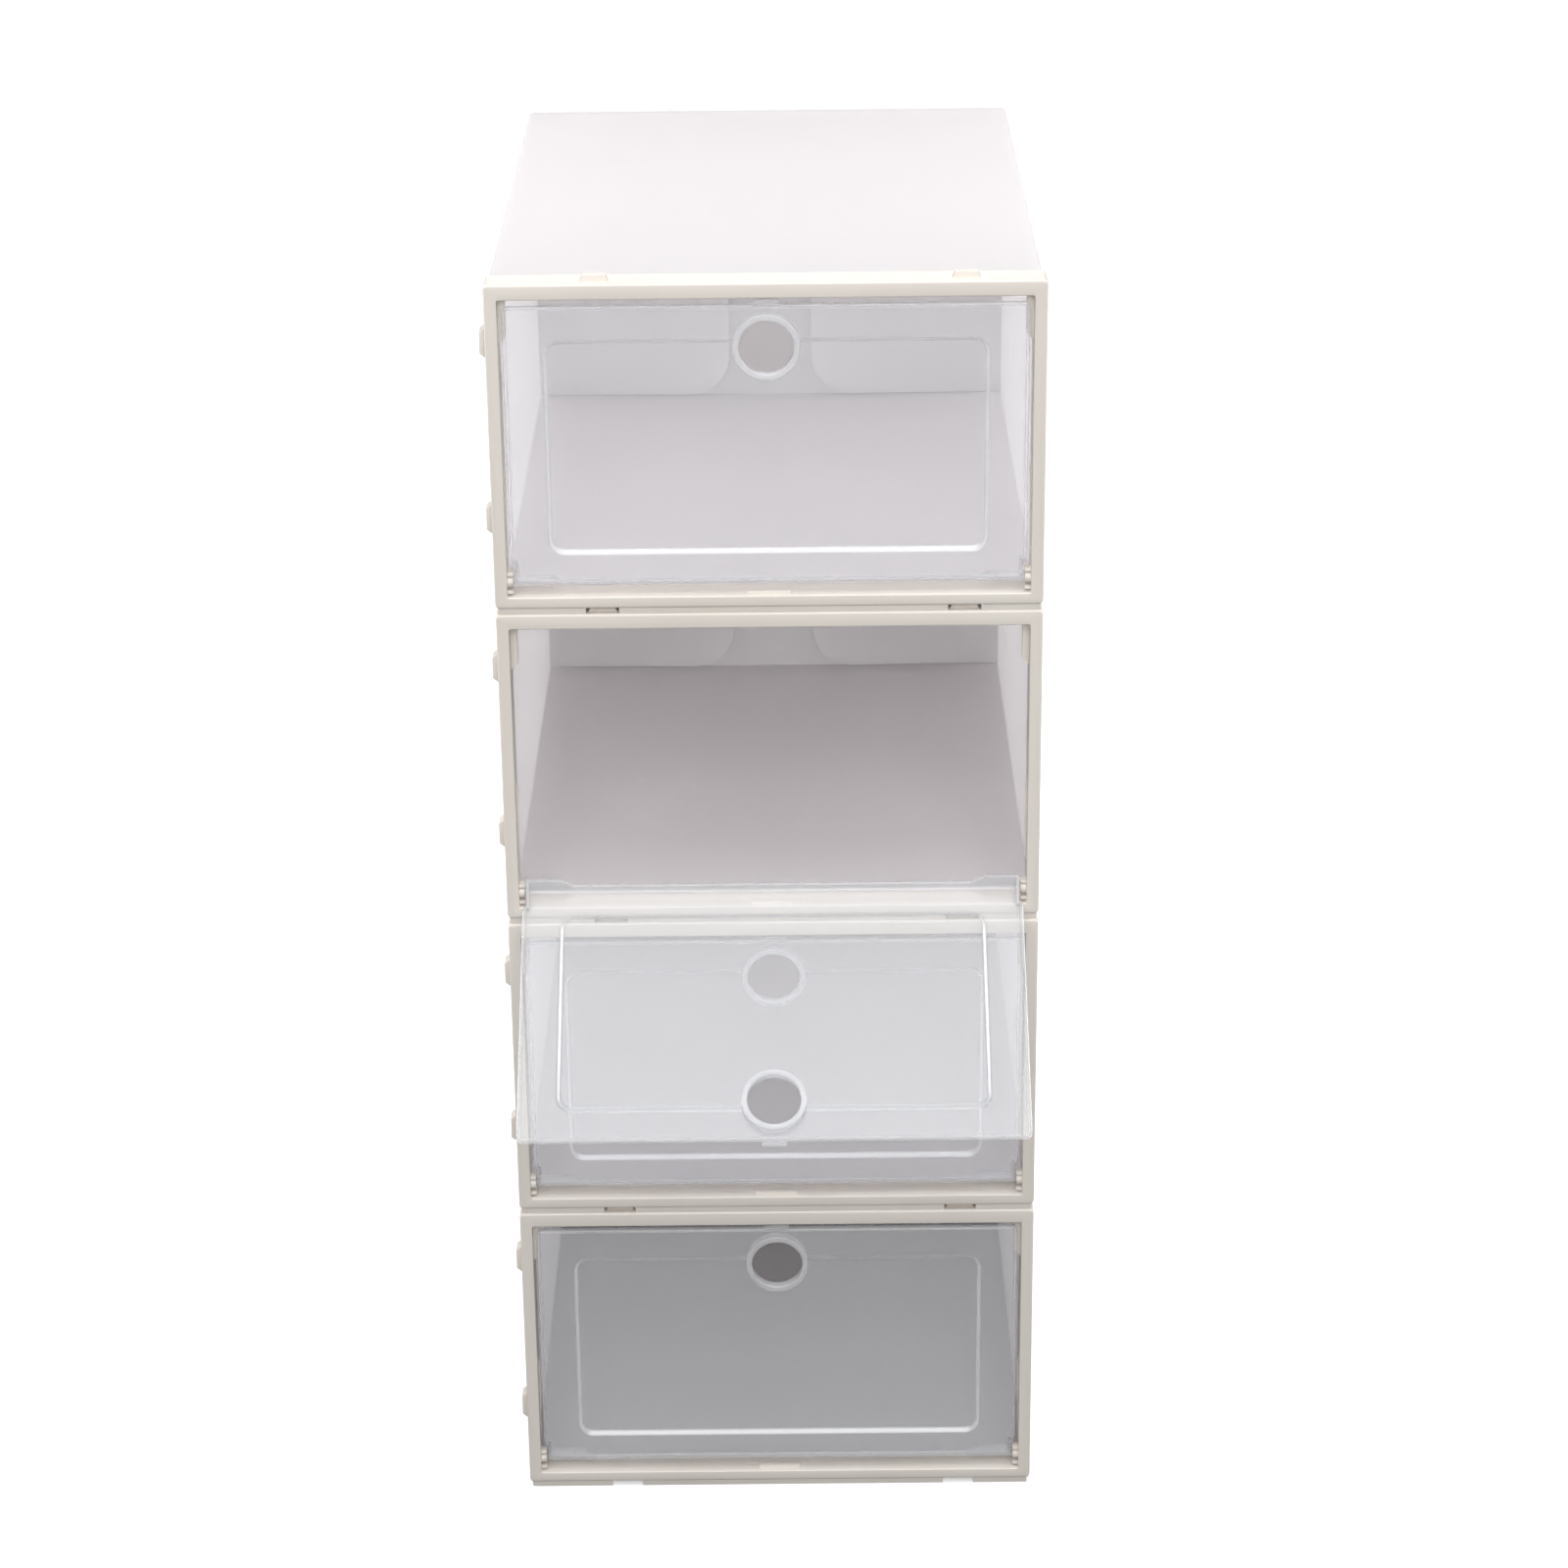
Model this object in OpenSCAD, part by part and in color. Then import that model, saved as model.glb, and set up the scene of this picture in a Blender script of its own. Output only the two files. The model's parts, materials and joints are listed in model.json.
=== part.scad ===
// Four stacking drop-front shoe boxes. Each box is a moulded front frame with a clear
// hinged door, and a body folded from creased plastic sheet that tucks shut at the back.
// The origin is on the floor under the middle of the stack, the doors face -Y and +Z is up.
// Box 1 is the top one and box 4 stands on the floor.

/* [Box] */
// Width of the front frame
box_w = 230; // [210:1:260]
// Height of the front frame's face
box_h = 140; // [138:1:170]
// Depth from the front face to the back panel
box_d = 310; // [280:1:340]
// Height of the recessed skirt that each box stands on
skirt_h = 2.6; // [2.4:0.1:3.4]
// Thickness of the body sheet
sheet_t = 0.8; // [0.5:0.1:1]

/* [Front frame] */
// Depth of the frame moulding
frame_d = 15.5; // [15.5:0.5:20]
// Width of each side bar
side_bar = 5.4; // [5.2:0.1:7]
// Height of the top bar
top_bar = 6.6; // [6:0.1:8]
// Height of the bottom bar's face
bottom_bar = 5; // [4.6:0.1:5.4]
// Radius of the frame's outer corners
corner_r = 2; // [1:0.5:3]

/* [Door] */
// Thickness of the door panel
door_t = 1.2; // [1:0.1:1.5]
// How far the closed door sits behind the frame's face
door_inset = 2; // [1.5:0.1:2.5]
// Gap between the door and each side bar
door_gap = 1.6; // [1.4:0.1:2]
// Height of the door above its hinge line
door_rise = 118.8; // [100:0.1:118.8]
// Angle at which the second door hangs open
open_angle = 128; // [0:1:128]

/* [Finger hole] */
// Inner diameter of the finger hole
hole_d = 22.8; // [20:0.2:26]
// Width of the collar round the hole
collar_w = 2.6; // [2:0.1:3]

/* [Stacking tabs and clips] */
// Middle of the left stacking tab, measured from the middle of the frame
tab_left = -70; // [-80:1:-60]
// Middle of the right stacking tab, measured from the middle of the frame
tab_right = 82; // [72:1:88]
// Height of a stacking tab
tab_h = 2.8; // [2.2:0.1:3.4]
// How far a side clip stands out from the left side bar
clip_out = 2.5; // [1.5:0.1:3]

/* [Hidden] */
$fn = 48;
PARTS = ["front_frame", "door", "left_sheet", "right_sheet", "top_sheet", "bottom_sheet",
         "left_back_flap", "right_back_flap", "back_panel"];

pitch = box_h + skirt_h;
slack = 0.4;
far = 1;

// Front frame: an outer wall, a wall round the mouth, and a channel between them
outer_wall = 1.3;
inner_wall = 1.6;
front_wall = 2.2;
channel_x = box_w/2 - outer_wall;
channel_z = pitch - outer_wall;
mouth_x = box_w/2 - side_bar;
mouth_z0 = skirt_h + bottom_bar;
mouth_z1 = pitch - top_bar;
mouth_r = 1;
skirt_y = 0.7;
skirt_wall = 1.6;
ledge_t = 1.3;
rib_t = 1.2;
stop_w = 3;
stop_h = 20;
stop_back = 9;
guide_y = [7, 8];
guide_low = 12;
guide_top = 78;
guide_t = 0.8;
bracket_t = 2.6;
bracket_y = [-2.4, 2.8];
bracket_z = [-4.9, 2.7];
bracket_r = 2.6;
boss_r = 3.9;
rest_w = 18.6;
rest_h = 1;
rest_y = [2.5, 5.5];

// Stacking tabs, side clips and the sockets that take a neighbour's clips
tabs = [tab_left, tab_right];
tab_w = 12;
tab_slope = 1.2;
tab_y = [5.5, 7.5];
notch_w = tab_w + 2;
clip_z = [pitch - 25.5, pitch - 101.7];
clip_len = 13;
clip_slope = 1.75;
clip_y = [4.5, 12];
socket_len = clip_len + 1;
socket_y = [4, 12.5];

// Body sheets: their outer faces lie against the frame's outer wall
sheet_x = channel_x;
sheet_in = sheet_x - sheet_t;
sheet_top = channel_z;
sheet_y0 = 4.6;
sheet_y1 = box_d - sheet_t - slack;
slit_y = 246;
slit_z = 18.6;
slit_r = [25.6, 26.4];
slit_low = 22;

// Door, drawn round its hinge line
hinge_y = door_inset + 2;
hinge_z = skirt_h + 11.2;
door_x = mouth_x - door_gap;
door_y = door_inset - hinge_y;
door_low = -1.6;
door_r = 2.5;
bend_r = 2.2;
rim_d = 3;
rim_t = 1.4;
lip_d = 5;
ear_d = 10;
ear_w = 20;
ear_slope = 5;
cheek_x = mouth_x - bracket_t - 0.6;
cheek_h = 9;
relief_z = [6.2, 10];
pin_r = 1.5;
pin_fit = 0.06;
pin_len = 4.6;
panel_x = door_x - 15.8;
panel_z = [11.5, door_rise - 13.8];
panel_r = 7;
panel_edge = 2.5;
panel_sink = 1.5;
hole_z = door_rise - 18;
collar_out = 0.4;
collar_in = 4.6;
latch_w = 10.5;
latch_notch_w = 23;
latch_notch_h = 0.8;
latch_y = [2.3, 4.4];
latch_h = 0.9;
catch_h = 2;

// Back closure: two side flaps inside, and an outer panel with a tuck tab
flap_w = 92;
flap_r = 20;
flap_z = [1.4, pitch - 6];
flap_axis_x = sheet_in - 2*slack;
flap_axis_y = box_d - 1.7;
back_axis = [box_d - sheet_t/2, sheet_t/2];
back_x = sheet_x - 0.5;
back_rise = sheet_top - sheet_t - slack - back_axis.y;
tuck_d = 14;
tuck_drop = 2.2;
tuck_x = 96;
tuck_slope = 8;

// Places one box of the stack: y = 0 is then its front face and z = 0 its foot
module at_box(b) translate([0, -box_d/2, (4 - b)*pitch]) children();

// Extrudes an outline drawn in X and Z from y0 back to y1
module slab(y0, y1) translate([0, y1, 0]) rotate([90, 0, 0]) linear_extrude(y1 - y0) children();

// Extrudes an outline drawn in Y and Z from x0 to x1
module bar(x0, x1) translate([x0, 0, 0]) rotate([90, 0, 90]) linear_extrude(x1 - x0) children();

// A cylinder along X that starts at x0
module pin(x0, r, h) translate([x0, 0, 0]) rotate([0, 90, 0]) cylinder(r = r, h = h);

module block(low, high) translate(low) cube(high - low);

module both_sides() {
    children();
    mirror([1, 0, 0]) children();
}

// A rectangle with round corners between two opposite corners
module rounded(low, high, r) {
    translate([low.x + r, low.y]) square([high.x - low.x - 2*r, high.y - low.y]);
    translate([low.x, low.y + r]) square([high.x - low.x, high.y - low.y - 2*r]);
    for (x = [low.x + r, high.x - r], y = [low.y + r, high.y - r]) translate([x, y]) circle(r);
}

// ---------------------------------------------------------------- front frame

module mouth(grow) rounded([-mouth_x - grow, mouth_z0 - grow], [mouth_x + grow, mouth_z1 + grow],
                           mouth_r);

module frame_walls() {
    difference() {
        slab(0, frame_d) rounded([-box_w/2, skirt_h], [box_w/2, pitch], corner_r);
        slab(front_wall, frame_d + far) rounded([-channel_x, -far], [channel_x, channel_z], 0.5);
    }
    slab(0, frame_d) mouth(inner_wall);
    // skirt, and the ledge that lies on the bottom sheet
    block([-sheet_x, skirt_y, 0], [sheet_x, skirt_y + skirt_wall, skirt_h + 1]);
    block([-sheet_in, skirt_y + 1, sheet_t], [sheet_in, frame_d, sheet_t + ledge_t]);
}

module channel_ribs() {
    y = [front_wall - 0.1, frame_d];
    for (x = [-96:32:96])
        block([x - rib_t/2, y[0], sheet_t + 1], [x + rib_t/2, y[1], mouth_z0 - 1]);
    for (x = [-90:30:90])
        block([x - rib_t/2, y[0], mouth_z1 + 1], [x + rib_t/2, y[1], sheet_top - sheet_t]);
    both_sides() for (z = [28:22:94]) block([mouth_x + 1, y[0], z], [sheet_in, y[1], z + rib_t]);
}

module hinge_boss()
    translate([0, hinge_y, hinge_z]) pin(mouth_x + 0.5, boss_r, sheet_in - mouth_x - 0.6);

module hinge_bore()
    translate([0, hinge_y, hinge_z])
        pin(mouth_x - bracket_t - far, pin_r + pin_fit, pin_len + far);

// Stop behind the top corner of the door, with a slanted lower end
module door_stop()
    slab(door_inset + rim_d + slack, stop_back)
        polygon([[mouth_x + 0.5, mouth_z1 - stop_h], [mouth_x, mouth_z1 - stop_h],
                 [mouth_x - stop_w, mouth_z1 - stop_h + stop_w],
                 [mouth_x - stop_w, mouth_z1 + 0.5], [mouth_x + 0.5, mouth_z1 + 0.5]]);

// Bracket that carries the pin: a tube between two short ribs, and a long guide rib above
module hinge_bracket() {
    translate([0, hinge_y, hinge_z]) {
        pin(mouth_x - bracket_t, bracket_r, bracket_t + 0.5);
        for (z = bracket_z)
            block([mouth_x - bracket_t, bracket_y[0], z], [mouth_x + 0.5, bracket_y[1], z + rib_t]);
    }
    block([mouth_x - guide_t, guide_y[0], hinge_z + guide_low],
          [mouth_x + 0.5, guide_y[1], pitch - guide_top]);
}

module stacking_tab(x)
    slab(tab_y[0], tab_y[1])
        polygon([[x - tab_w/2, pitch - 1], [x + tab_w/2, pitch - 1], [x + tab_w/2, pitch],
                 [x + tab_w/2 - tab_slope, pitch + tab_h],
                 [x - tab_w/2 + tab_slope, pitch + tab_h], [x - tab_w/2, pitch]]);

module side_clip(z)
    slab(clip_y[0], clip_y[1])
        polygon([[1 - box_w/2, z - clip_len/2], [-box_w/2, z - clip_len/2],
                 [-box_w/2 - clip_out, z - clip_len/2 + clip_slope],
                 [-box_w/2 - clip_out, z + clip_len/2 - clip_slope],
                 [-box_w/2, z + clip_len/2], [1 - box_w/2, z + clip_len/2]]);

// Room in the skirt and the ledge for the tabs of the box below
module tab_notch(x) block([x - notch_w/2, skirt_y - far, -far], [x + notch_w/2, frame_d + far, skirt_h]);

// Slot in the right side for one of a neighbour's clips
module clip_socket(z)
    block([channel_x - 0.5, socket_y[0], z - socket_len/2],
          [box_w/2 + far, socket_y[1], z + socket_len/2]);

module frame_cuts() {
    slab(-far, frame_d + far) mouth(0);
    block([-latch_notch_w/2, latch_y[0], mouth_z1 - far],
          [latch_notch_w/2, latch_y[1] + 1, mouth_z1 + latch_notch_h]);
    for (x = tabs) tab_notch(x);
    for (z = clip_z) clip_socket(z);
}

module front_frame() {
    color([0.91, 0.88, 0.84]) difference() {
        union() {
            difference() {
                union() {
                    frame_walls();
                    channel_ribs();
                    both_sides() hinge_boss();
                    for (x = tabs) stacking_tab(x);
                    for (z = clip_z) side_clip(z);
                }
                frame_cuts();
            }
            both_sides() {
                door_stop();
                hinge_bracket();
            }
            // latch bump over the door, and the rest behind its lower edge
            block([-latch_w/2, latch_y[0], mouth_z1 - latch_h],
                  [latch_w/2, latch_y[1], mouth_z1 + latch_notch_h + 0.2]);
            block([-rest_w/2, rest_y[0], mouth_z0 - 0.5], [rest_w/2, rest_y[1], mouth_z0 + rest_h]);
        }
        both_sides() hinge_bore();
    }
}

// ----------------------------------------------------------------------- door

module door_outline(inset) {
    rounded([inset - door_x, door_low + bend_r], [door_x - inset, door_rise - inset], door_r);
    translate([inset - door_x, door_low + bend_r]) square([2*(door_x - inset), 2*door_r]);
}

module panel_outline(inset)
    rounded([inset - panel_x, panel_z[0] + inset], [panel_x - inset, panel_z[1] - inset],
            panel_r - inset);

// Lower edge of the door, bent in from the panel to a short lip
module door_lip() bar(-door_x, door_x) {
    difference() {
        translate([door_y + bend_r, door_low + bend_r]) circle(bend_r);
        translate([door_y + bend_r, door_low + bend_r]) circle(bend_r - door_t);
        translate([door_y + bend_r, door_low - far]) square(2*bend_r);
        translate([door_y - far, door_low + bend_r]) square(2*bend_r);
    }
    translate([door_y + bend_r, door_low]) square([lip_d - bend_r, door_t]);
}

module door_ear()
    translate([0, 0, door_low]) linear_extrude(door_t)
        polygon([[cheek_x, door_y + bend_r], [cheek_x, door_y + ear_d],
                 [cheek_x - ear_w + ear_slope, door_y + ear_d],
                 [cheek_x - ear_w, door_y + lip_d], [cheek_x - ear_w, door_y + bend_r]]);

// Side wall between ear and panel that carries the pin
module door_cheek() {
    bar(cheek_x - rim_t, cheek_x)
        polygon([[door_y + bend_r, door_low], [door_y + ear_d, door_low],
                 [door_y + ear_d, door_low + 2], [door_y + rim_d, cheek_h], [door_y, cheek_h],
                 [door_y, door_low + bend_r]]);
    pin(cheek_x - rim_t, pin_r, rim_t + pin_len);
}

// Room for the frame's bracket at the lower corner of the door, with a slanted top
module corner_relief()
    slab(-ear_d, ear_d)
        polygon([[cheek_x, -ear_d], [door_x + far, -ear_d], [door_x + far, relief_z[1]],
                 [door_x, relief_z[1]], [cheek_x, relief_z[0]]]);

// Flange round the sides and the top, behind the panel
module door_rim() slab(door_y, door_y + rim_d) difference() {
    door_outline(0);
    door_outline(rim_t);
}

module door_panel() {
    difference() {
        union() {
            slab(door_y, door_y + door_t) door_outline(0);
            door_rim();
            slab(door_y, door_y + panel_sink/2 + door_t) panel_outline(0);
            slab(door_y, door_y + panel_sink + door_t) panel_outline(panel_edge);
            door_lip();
        }
        slab(door_y - far, door_y + panel_sink/2) panel_outline(0);
        slab(door_y - far, door_y + panel_sink) panel_outline(panel_edge);
        both_sides() corner_relief();
    }
}

module door() {
    color([0.88, 0.91, 0.94, 0.45]) difference() {
        union() {
            door_panel();
            slab(door_y - collar_out, door_y + collar_in)
                translate([0, hole_z]) circle(hole_d/2 + collar_w);
            block([-latch_w/2, door_y, door_rise - 1],
                  [latch_w/2, door_y + door_t, door_rise + catch_h]);
            both_sides() {
                door_ear();
                door_cheek();
            }
        }
        slab(door_y - 2*collar_out, door_y + 2*collar_in) translate([0, hole_z]) circle(hole_d/2);
    }
}

module hung_door(b)
    translate([0, hinge_y, hinge_z]) rotate([b == 2 ? open_angle : 0, 0, 0]) door();

// ---------------------------------------------------------------- body sheets

module side_sheet() block([sheet_in, sheet_y0, sheet_t], [sheet_x, sheet_y1, sheet_top - sheet_t]);

// Curved slit punched through the right side
module curved_slit() bar(sheet_in - far, sheet_x + far) translate([slit_y, slit_z]) difference() {
    circle(slit_r[1]);
    circle(slit_r[0]);
    translate([-2*slit_r[1], -2*slit_r[1]]) square([2*slit_r[1], 4*slit_r[1]]);
    rotate(slit_low) translate([0, -2*slit_r[1]]) square(2*slit_r[1]);
    translate([-slit_r[1], -2*slit_r[1]]) square([3*slit_r[1], 2*slit_r[1]]);
}

module left_sheet() color([0.96, 0.96, 0.97]) mirror([1, 0, 0]) side_sheet();

module right_sheet() color([0.96, 0.96, 0.97]) difference() {
    side_sheet();
    curved_slit();
    for (z = clip_z)
        block([sheet_in - far, sheet_y0 - far, z - socket_len/2],
              [sheet_x + far, socket_y[1], z + socket_len/2]);
}

module top_sheet()
    color([0.97, 0.97, 0.98])
        block([-sheet_x, sheet_y0, sheet_top - sheet_t], [sheet_x, box_d, sheet_top]);

module bottom_sheet() color([0.95, 0.95, 0.96]) difference() {
    block([-sheet_x, sheet_y0, 0], [sheet_x, sheet_y1, sheet_t]);
    for (x = tabs)
        block([x - notch_w/2, 0, -far], [x + notch_w/2, frame_d + 0.5, sheet_t + far]);
}

// --------------------------------------------------------------- back closure

// Right side flap: it hangs on the rear crease of the side sheet
module back_flap() translate([flap_axis_x, flap_axis_y, 0]) {
    slab(-sheet_t/2, sheet_t/2) {
        rounded([-flap_w, flap_z[0]], [-flap_r, flap_z[1]], flap_r);
        translate([-flap_w/2, flap_z[0]]) square([flap_w/2, flap_z[1] - flap_z[0]]);
    }
    translate([0, 0, flap_z[0]]) cylinder(d = sheet_t, h = flap_z[1] - flap_z[0]);
}

module left_back_flap() color([0.93, 0.93, 0.95]) mirror([1, 0, 0]) back_flap();

module right_back_flap() color([0.93, 0.93, 0.95]) back_flap();

// Outer panel, drawn round its crease at the foot, with the tuck tab at the top
module back_panel() {
    color([0.94, 0.94, 0.96]) translate([0, back_axis.x, back_axis.y]) {
        pin(-back_x, sheet_t/2, 2*back_x);
        block([-back_x, -sheet_t/2, 0], [back_x, sheet_t/2, back_rise]);
        intersection() {
            bar(-tuck_x, tuck_x)
                polygon([[0, back_rise], [-tuck_d, back_rise - tuck_drop],
                         [-tuck_d, back_rise - tuck_drop - sheet_t], [0, back_rise - sheet_t]]);
            linear_extrude(back_rise + far)
                polygon([[-tuck_x, 0], [tuck_slope - tuck_x, -tuck_d],
                         [tuck_x - tuck_slope, -tuck_d], [tuck_x, 0]]);
        }
    }
}

// ------------------------------------------------------------------ one box

module box_part(b, part) at_box(b) {
    if (part == "front_frame") front_frame();
    if (part == "door") hung_door(b);
    if (part == "left_sheet") left_sheet();
    if (part == "right_sheet") right_sheet();
    if (part == "top_sheet") top_sheet();
    if (part == "bottom_sheet") bottom_sheet();
    if (part == "left_back_flap") left_back_flap();
    if (part == "right_back_flap") right_back_flap();
    if (part == "back_panel") back_panel();
}

for (b = [1:4]) for (part = PARTS)
    box_part(b, part);
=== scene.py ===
"""Looks for the stack of four drop-front shoe boxes: rounded mouldings, clear doors with a soft
emboss, and one creased sheet of translucent plastic for each body.

Lengths are in millimetres, in a box's own frame: x = 0 is its middle, y = 0 its front face, and
z = 0 its foot. Placed pieces are in metres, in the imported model's frame."""

import json
import math

import bmesh
import bpy
from mathutils import Matrix, Vector


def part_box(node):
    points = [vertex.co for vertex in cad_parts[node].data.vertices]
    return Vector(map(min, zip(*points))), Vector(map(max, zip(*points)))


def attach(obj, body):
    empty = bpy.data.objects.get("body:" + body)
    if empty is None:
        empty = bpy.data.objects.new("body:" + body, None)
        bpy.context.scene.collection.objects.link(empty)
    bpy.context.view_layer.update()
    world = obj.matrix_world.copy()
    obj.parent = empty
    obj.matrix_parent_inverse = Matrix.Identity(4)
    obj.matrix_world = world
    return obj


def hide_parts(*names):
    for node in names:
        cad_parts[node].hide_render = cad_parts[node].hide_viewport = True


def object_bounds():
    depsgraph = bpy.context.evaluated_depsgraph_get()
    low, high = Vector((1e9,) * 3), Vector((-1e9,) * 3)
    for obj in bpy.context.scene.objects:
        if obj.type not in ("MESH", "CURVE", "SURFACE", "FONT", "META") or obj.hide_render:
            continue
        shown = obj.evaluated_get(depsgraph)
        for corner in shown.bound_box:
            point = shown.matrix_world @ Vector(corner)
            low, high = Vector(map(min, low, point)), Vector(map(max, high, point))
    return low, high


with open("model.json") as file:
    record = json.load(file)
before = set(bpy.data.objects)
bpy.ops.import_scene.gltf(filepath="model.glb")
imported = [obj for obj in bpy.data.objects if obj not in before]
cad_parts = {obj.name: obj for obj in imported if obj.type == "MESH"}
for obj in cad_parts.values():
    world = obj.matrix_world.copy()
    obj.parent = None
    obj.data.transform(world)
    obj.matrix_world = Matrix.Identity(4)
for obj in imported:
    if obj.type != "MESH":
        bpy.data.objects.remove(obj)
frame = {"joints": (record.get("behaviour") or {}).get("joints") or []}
cad_low, cad_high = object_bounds()

MM = 0.001
BOXES = (1, 2, 3, 4)
ARC = 6  # segments in a quarter circle of an outline
ROUND = 64  # segments in a full circle
JOINTS = {joint["name"]: joint for joint in frame["joints"]}


def corners(node):
    """Lowest and highest corner of a CAD node in millimetres, in its own box's frame."""
    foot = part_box(node.split("_")[0] + "_bottom_sheet")[0].z
    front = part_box("box4_front_frame")[0].y
    return [(corner - Vector((0, front, foot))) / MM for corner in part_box(node)]


# ------------------------------------------------------------------------ sizes from the frame

frame_low, frame_high = corners("box4_front_frame")
floor_low, floor_high = corners("box4_bottom_sheet")
roof_high = corners("box4_top_sheet")[1]
wall_low, wall_high = corners("box4_right_sheet")
flap_low, flap_high = corners("box4_right_back_flap")
back_low, back_high = corners("box4_back_panel")
pitch = (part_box("box3_bottom_sheet")[0].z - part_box("box4_bottom_sheet")[0].z) / MM

# Front frame: bars round the mouth, walls of the hollow channel behind them
half = frame_high.x
depth = frame_high.y
skirt = 2.6
side_bar, top_bar, bottom_bar = 5.4, 6.6, 5.0
corner_r = 2.0
outer_wall, inner_wall, front_wall = 1.3, 1.6, 2.2
mouth_x = half - side_bar
mouth_low, mouth_high = skirt + bottom_bar, pitch - top_bar
mouth_r = 1.0
tabs = (-70.0, 82.0)  # middles of the stacking tabs across the frame
notch_half = 7.0  # half the room for a stacking tab
clips = (pitch - 25.5, pitch - 101.7)  # heights of the side clips
socket_y, socket_half = (4, 12.5), 7  # room for a neighbour's side clip
latch_y, latch_half = 2.3, 5.25

# Body sheet
sheet_x, sheet_top = roof_high.x, roof_high.z
sheet_t = floor_high.z - floor_low.z

# Door: its own places in y and z are measured from the hinge line
hinge_y = 4.0
hinge_z = JOINTS["box4_door_hinge"]["pos_m"][2] / MM
bracket_t = 2.6
door_t = 1.2
door_x = mouth_x - 1.6
door_y = -2.0
door_foot = -1.6
door_rise = 118.8
cheek_x = mouth_x - bracket_t - 0.6
pin_r = 1.5
hole_z, hole_r, collar_w = door_rise - 18, 11.4, 2.6


# ---------------------------------------------------------------------------------- mesh tools


def smooth(t):
    """Eases 0 to 1 in and out."""
    return t * t * (3 - 2 * t)


def ring(bm, x, z, r, y, foot_y=None, splits=1):
    """A rectangle of vertices with round corners at depth y, or foot_y along its lower side. Each
    straight side is cut into splits."""
    foot_y = y if foot_y is None else foot_y
    points = []
    for index, (sx, sz) in enumerate(((1, 1), (-1, 1), (-1, -1), (1, -1))):
        cx, cz = x[sx > 0] - sx * r, z[sz > 0] - sz * r
        for i in range(ARC + 1):
            turn = math.radians(90 * (index + i / ARC))
            low = (0, 0, i / ARC, 1 - i / ARC)[index]
            at = y + (foot_y - y) * low
            points.append(Vector((cx + r * math.cos(turn), at, cz + r * math.sin(turn))))
    full = []
    for i, point in enumerate(points):
        full.append(point)
        if (i + 1) % (ARC + 1) == 0:
            after = points[(i + 1) % len(points)]
            full += [point.lerp(after, k / splits) for k in range(1, splits)]
    return [bm.verts.new(point) for point in full]


def loft(bm, rings, closed=False, capped=False):
    """Skins a list of rings that have the same number of vertices."""
    pairs = list(zip(rings, rings[1:]))
    if closed:
        pairs.append((rings[-1], rings[0]))
    for a, b in pairs:
        for i in range(len(a)):
            bm.faces.new((a[i - 1], a[i], b[i], b[i - 1]))
    if capped:
        bm.faces.new(rings[0])
        bm.faces.new(rings[-1])


def fillet(r, steps=4):
    """(inset, depth) steps round an edge of radius r, from its side to its face."""
    turns = [math.radians(90 * i / steps) for i in range(steps + 1)]
    return [(r - r * math.cos(turn), r - r * math.sin(turn)) for turn in turns]


def solid(bm):
    """A loose object from a bmesh, with its faces turned outwards."""
    bmesh.ops.recalc_face_normals(bm, faces=bm.faces)
    mesh = bpy.data.meshes.new("solid")
    bm.to_mesh(mesh)
    bm.free()
    made = bpy.data.objects.new("solid", mesh)
    bpy.context.scene.collection.objects.link(made)
    return made


def soften(bm, r, sharper_than=25):
    """Rounds the sharp edges of a bmesh by r."""
    edges = [e for e in bm.edges
             if len(e.link_faces) == 2
             and math.degrees(e.calc_face_angle(0)) > sharper_than]
    bmesh.ops.bevel(bm, geom=edges, offset=r, segments=2, profile=0.6, affect="EDGES",
                    clamp_overlap=True)


def block(low, high, r=0.25):
    """A box between two opposite corners, with edges of radius r."""
    bm = bmesh.new()
    bmesh.ops.create_cube(bm, size=1)
    for v in bm.verts:
        v.co = [low[i] if v.co[i] < 0 else high[i] for i in range(3)]
    if r:
        soften(bm, r)
    return solid(bm)


def prism(outline, axis, start, end, r=0.25):
    """An outline drawn in the two axes other than axis, extruded from start to end along it."""
    bm = bmesh.new()

    def point(p, at):
        values = list(p)
        values.insert(axis, at)
        return bm.verts.new(values)

    loft(bm, [[point(p, start) for p in outline], [point(p, end) for p in outline]], capped=True)
    bmesh.ops.recalc_face_normals(bm, faces=bm.faces)
    if r:
        soften(bm, r)
    return solid(bm)


def lathe(profile, axis, at):
    """A profile of (radius, place along the axis) turned about X or Y through at."""
    bm = bmesh.new()
    rings = []
    for r, along in profile:
        row = []
        for i in range(ROUND):
            turn = math.tau * i / ROUND
            a, b = r * math.cos(turn), r * math.sin(turn)
            where = (along, a, b) if axis == "X" else (a, along, b)
            row.append(bm.verts.new(Vector(where) + Vector(at)))
        rings.append(row)
    hollow = profile[0] == profile[-1]
    if hollow:
        for v in rings.pop():
            bm.verts.remove(v)
    loft(bm, rings, closed=hollow, capped=not hollow)
    return solid(bm)


def pin(x0, x1, r, y, z, end=0.2):
    """A cylinder along X with chamfered ends."""
    sign = 1 if x1 > x0 else -1
    return lathe([(r - end, x0), (r, x0 + sign * end), (r, x1 - sign * end), (r - end, x1)], "X",
                 (0, y, z))


def mirrored(made):
    """A copy on the other side of x = 0."""
    twin = made.copy()
    twin.data = made.data.copy()
    bpy.context.scene.collection.objects.link(twin)
    twin.data.transform(Matrix.Scale(-1, 4, (1, 0, 0)))
    twin.data.flip_normals()
    return twin


def both(made):
    """The solid and its copy on the other side."""
    return [made, mirrored(made)]


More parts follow.
